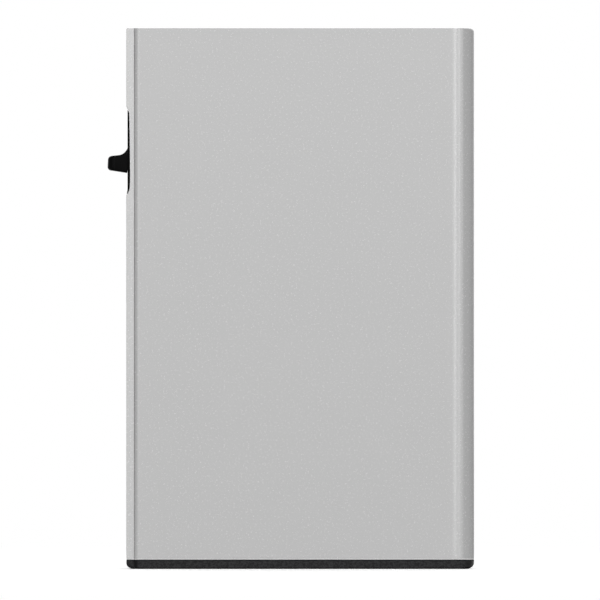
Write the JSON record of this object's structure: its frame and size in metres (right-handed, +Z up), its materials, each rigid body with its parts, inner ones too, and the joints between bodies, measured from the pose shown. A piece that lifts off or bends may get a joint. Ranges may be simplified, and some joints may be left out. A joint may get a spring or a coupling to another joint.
{
  "type": "pop up card holder",
  "caption": "Slim metal card holder with an open mouth, a half-round edge and a side button that fans the cards out through a rocking lever.",
  "frame": {"origin": "middle of the bottom cap's underside, centred on the sleeve without its button", "axes": "+Z up towards the mouth, +X to the right seen from the front with the button at -X, front face towards -Y"},
  "size_m": [0.0685, 0.008, 0.101],
  "materials": {
    "anodised_sleeve": "bead-blasted and clear anodised, fine satin grain",
    "matte_black_plastic": "fine spark-eroded texture",
    "gloss_black_plastic": "polished",
    "grey_acetal": "smooth moulded",
    "brushed_sheet": "brushed",
    "spring_steel": "bright drawn wire and strip",
    "steel_fastener": "turned",
    "black_rubber": "matte"
  },
  "bodies": {
    "case": {"case_tube": "anodised_sleeve", "bottom_cap": "matte_black_plastic", "slot_bezel": "matte_black_plastic", "inner_frame": "matte_black_plastic", "edge_rail": "matte_black_plastic", "lever_cover": "brushed_sheet", "card_spring": "spring_steel", "return_spring": "spring_steel", "stop_pad": "black_rubber", "foot_pad_left": "black_rubber", "foot_pad_right": "black_rubber", "grip_strip_front": "black_rubber", "grip_strip_back": "black_rubber", "cap_screw_left": "steel_fastener", "cap_screw_right": "steel_fastener", "cover_screw_left": "steel_fastener", "cover_screw_middle": "steel_fastener", "cover_screw_right": "steel_fastener", "pivot_pin": "steel_fastener", "pivot_washer_front": "steel_fastener", "pivot_washer_rear": "steel_fastener"},
    "slider": {"slide_button": "gloss_black_plastic", "push_rod": "grey_acetal", "drive_pin": "steel_fastener"},
    "lever": {"ejector_lever": "grey_acetal"}
  },
  "joints": [
    {"name": "button_slide", "type": "slide", "parent": "case", "child": "slider", "axis": [0, 0, -1], "range_m": [0, 0.0038], "stiffness_N_per_m": 300, "springref_m": -0.001, "deforming": ["return_spring"]},
    {"name": "lever_turn", "type": "hinge", "parent": "case", "child": "lever", "pos_m": [-0.0227, 0, 0.00677], "axis": [0, -1, 0], "range_deg": [0, 33.08]}
  ],
  "couplings": [
    {"joint": "lever_turn", "follows": "button_slide", "rad_per_m": 151.9}
  ]
}
